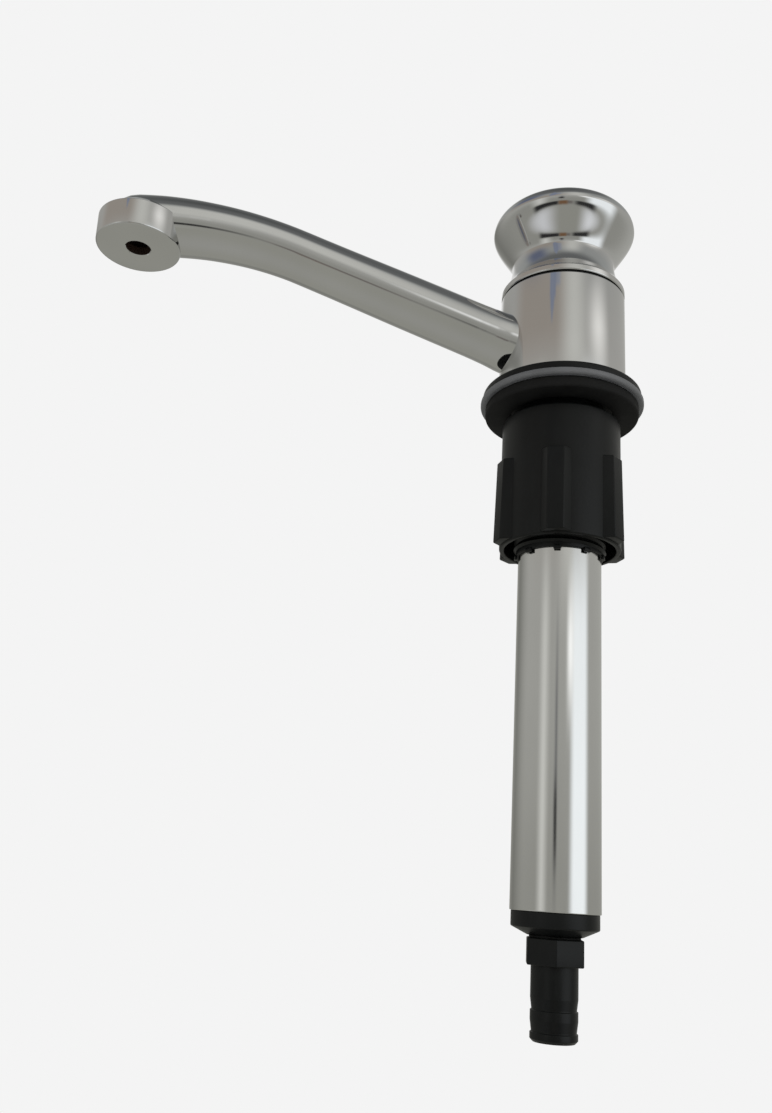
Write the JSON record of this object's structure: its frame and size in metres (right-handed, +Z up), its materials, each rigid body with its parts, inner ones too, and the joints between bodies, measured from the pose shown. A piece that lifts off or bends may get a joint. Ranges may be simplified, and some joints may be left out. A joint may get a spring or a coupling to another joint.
{
  "type": "hand water pump",
  "caption": "Worktop hand pump: lifting knob over a swivelling chromed spout, threaded shank with a ribbed clamp nut, long steel barrel and hose tail.",
  "frame": {"origin": "centre of the gasket's lower face, where the pump sits on the worktop", "axes": "+Z up along the pump's axis, from the hose tail to the knob; -Y towards the camera of the picture"},
  "size_m": [0.1703, 0.0869, 0.2592],
  "materials": {
    "chrome": "bright chrome plate over brass",
    "steel": "polished stainless steel",
    "black_plastic": "satin black moulded plastic",
    "gray_ring": "satin gray moulded plastic",
    "black_rubber": "matte black rubber",
    "white_plastic": "natural white acetal"
  },
  "bodies": {
    "root": {"pump_head": "black_plastic", "rod_guide": "black_plastic", "rod_seal": "black_rubber", "swivel_seals": "black_rubber", "sealing_ring": "gray_ring", "bench_gasket": "black_rubber", "cylinder_tube": "steel", "tube_seal": "black_rubber", "foot_cap": "black_plastic", "cap_seal": "black_rubber", "ball_stop": "black_plastic", "tail_washer": "black_rubber", "hose_tail": "black_plastic"},
    "spout": {"swivel_body": "chrome", "spout_arm": "chrome"},
    "nut": {"clamp_nut": "black_plastic"},
    "plunger": {"knob": "chrome", "pump_rod": "steel", "piston_body": "white_plastic", "piston_seal": "black_rubber", "valve_stop": "steel", "piston_nut": "steel"},
    "piston_disc": {"piston_valve": "black_rubber"},
    "ball": {"foot_ball": "steel"}
  },
  "joints": [
    {"name": "spout_swivel", "type": "hinge", "parent": "root", "child": "spout", "pos_m": [0, 0, 0.025], "axis": [0, 0, 1], "continuous": true},
    {"name": "knob_lift", "type": "slide", "parent": "root", "child": "plunger", "axis": [0, 0, 1], "range_m": [0, 0.122]},
    {"name": "nut_travel", "type": "slide", "parent": "root", "child": "nut", "axis": [0, 0, 1], "range_m": [-0.03, 0.0026]},
    {"name": "piston_valve_lift", "type": "slide", "parent": "plunger", "child": "piston_disc", "axis": [0, 0, 1], "range_m": [0, 0.002]},
    {"name": "foot_valve_lift", "type": "slide", "parent": "root", "child": "ball", "axis": [0, 0, 1], "range_m": [0, 0.0025]}
  ]
}
